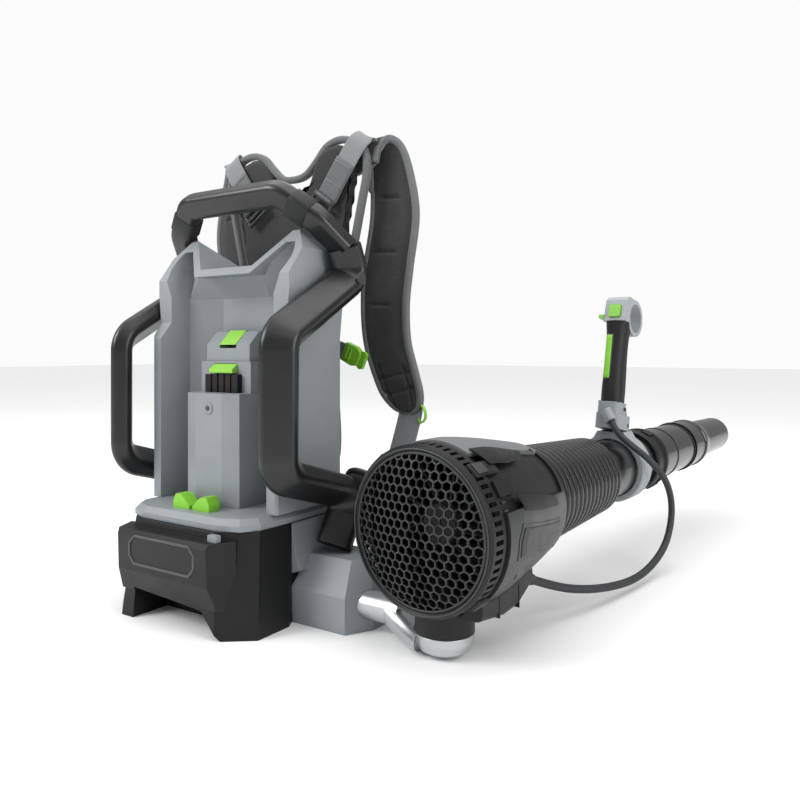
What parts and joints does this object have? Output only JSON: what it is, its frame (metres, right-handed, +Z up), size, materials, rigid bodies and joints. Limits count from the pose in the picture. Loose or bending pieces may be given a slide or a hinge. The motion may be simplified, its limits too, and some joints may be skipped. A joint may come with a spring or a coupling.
{
  "type": "backpack leaf blower",
  "caption": "Backpack leaf blower: battery dock in a carry frame with padded harness, swivel-mounted axial fan, flexible bellows, tube, nozzle and pistol control handle.",
  "frame": {"origin": "centre of the base's underside, on the ground", "axes": "+X towards the wearer's right, where the blower hangs; +Y forward, the way the wearer faces and the tube points; +Z up"},
  "size_m": [0.661, 1.1368, 0.636],
  "materials": {
    "black_plastic": "satin",
    "grey_plastic": "satin",
    "dark_grey_plastic": "satin",
    "green_plastic": "satin",
    "contact_brass": "satin",
    "cast_aluminium": "cast satin",
    "motor_metal": "satin",
    "bellows_rubber": "satin",
    "conduit_rubber": "ribbed matte",
    "pad_fabric": "mesh",
    "webbing": "woven"
  },
  "bodies": {
    "backpack": {"base_shell": "black_plastic", "back_plate": "black_plastic", "guard_right": "black_plastic", "guard_left": "black_plastic", "carry_handle": "black_plastic", "terminal_block": "black_plastic", "base_badge": "black_plastic", "base_deck": "grey_plastic", "rail_block": "grey_plastic", "housing_shell": "grey_plastic", "dock_tower": "grey_plastic", "dock_cover": "grey_plastic", "arm_box": "grey_plastic", "chest_buckle": "green_plastic", "terminal_blades": "contact_brass", "back_pad": "pad_fabric", "yoke_pad": "pad_fabric", "shoulder_strap_right": "pad_fabric", "shoulder_strap_left": "pad_fabric", "hip_pad_right": "pad_fabric", "hip_pad_left": "pad_fabric", "load_lifter_right": "webbing", "load_lifter_left": "webbing", "strap_web_right": "webbing", "strap_web_left": "webbing", "chest_strap": "webbing"},
    "deck_latch_right": {"deck_latch_right": "green_plastic"},
    "deck_latch_left": {"deck_latch_left": "green_plastic"},
    "battery_latch": {"battery_latch": "green_plastic"},
    "release_button": {"release_button": "green_plastic"},
    "swivel_arm": {"swivel_arm": "cast_aluminium"},
    "blower": {"swivel_collar": "black_plastic", "intake_grille": "black_plastic", "intake_ring": "black_plastic", "fan_housing": "black_plastic", "top_saddle": "grey_plastic", "side_panel": "dark_grey_plastic", "power_pod": "black_plastic", "motor": "motor_metal", "guide_vanes": "motor_metal", "cable_gland": "black_plastic", "bellows": "bellows_rubber", "control_cable": "conduit_rubber"},
    "fan": {"impeller": "black_plastic"},
    "tube": {"front_tube": "black_plastic", "handle_clamp": "grey_plastic", "tube_coupling": "black_plastic", "mid_tube": "black_plastic", "handle_bracket": "grey_plastic", "handle_grip": "black_plastic", "handle_head": "grey_plastic"},
    "nozzle": {"nozzle": "black_plastic"},
    "turbo_button": {"turbo_button": "green_plastic"},
    "trigger": {"trigger": "green_plastic"},
    "cruise_lever": {"cruise_lever": "green_plastic"}
  },
  "joints": [
    {"name": "deck_latch_right_press", "type": "slide", "parent": "backpack", "child": "deck_latch_right", "axis": [0, 0, -1], "range_m": [0, 0.005], "stiffness_N_per_m": 600},
    {"name": "deck_latch_left_press", "type": "slide", "parent": "backpack", "child": "deck_latch_left", "axis": [0, 0, -1], "range_m": [0, 0.005], "stiffness_N_per_m": 600},
    {"name": "release_press", "type": "slide", "parent": "backpack", "child": "release_button", "axis": [0, 0, -1], "range_m": [0, 0.004], "stiffness_N_per_m": 800},
    {"name": "battery_latch_slide", "type": "slide", "parent": "backpack", "child": "battery_latch", "axis": [0, 1, 0], "range_m": [0, 0.005]},
    {"name": "arm_pitch", "type": "hinge", "parent": "backpack", "child": "swivel_arm", "pos_m": [0.216, 0.006, 0.031], "axis": [1, 0, 0], "range_deg": [-20, 30]},
    {"name": "blower_swivel", "type": "hinge", "parent": "swivel_arm", "child": "blower", "pos_m": [0.322, -0.004, 0.035], "axis": [0, 0, 1], "range_deg": [-25, 12]},
    {"name": "fan_spin", "type": "hinge", "parent": "blower", "child": "fan", "pos_m": [0.32262, 0.02571, 0.14443], "axis": [0.0871, 0.9961, 0.0122], "continuous": true},
    {"name": "tube_sweep", "type": "hinge", "parent": "blower", "child": "tube", "pos_m": [0.34358, 0.26527, 0.14737], "axis": [-0.0011, -0.0122, 0.9999], "range_deg": [-10, 10], "stiffness_Nm_per_rad": 12, "deforming": ["bellows", "control_cable"]},
    {"name": "nozzle_twist", "type": "hinge", "parent": "tube", "child": "nozzle", "pos_m": [0.38746, 0.76682, 0.15352], "axis": [0.0871, 0.9961, 0.0122], "range_deg": [0, 30]},
    {"name": "turbo_press", "type": "slide", "parent": "tube", "child": "turbo_button", "axis": [0.0853, 0.9748, -0.2062], "range_m": [0, 0.003], "stiffness_N_per_m": 500},
    {"name": "trigger_pull", "type": "hinge", "parent": "tube", "child": "trigger", "pos_m": [0.36362, 0.49425, 0.33983], "axis": [0.9962, -0.0872, 0], "range_deg": [-12, 0], "stiffness_Nm_per_rad": 0.4},
    {"name": "cruise_turn", "type": "hinge", "parent": "tube", "child": "cruise_lever", "pos_m": [0.34281, 0.48595, 0.38896], "axis": [0.9962, -0.0872, 0], "range_deg": [-55, 0]}
  ],
  "couplings": [
    {"joint": "battery_latch_slide", "follows": "release_press", "ratio": 1.25}
  ]
}
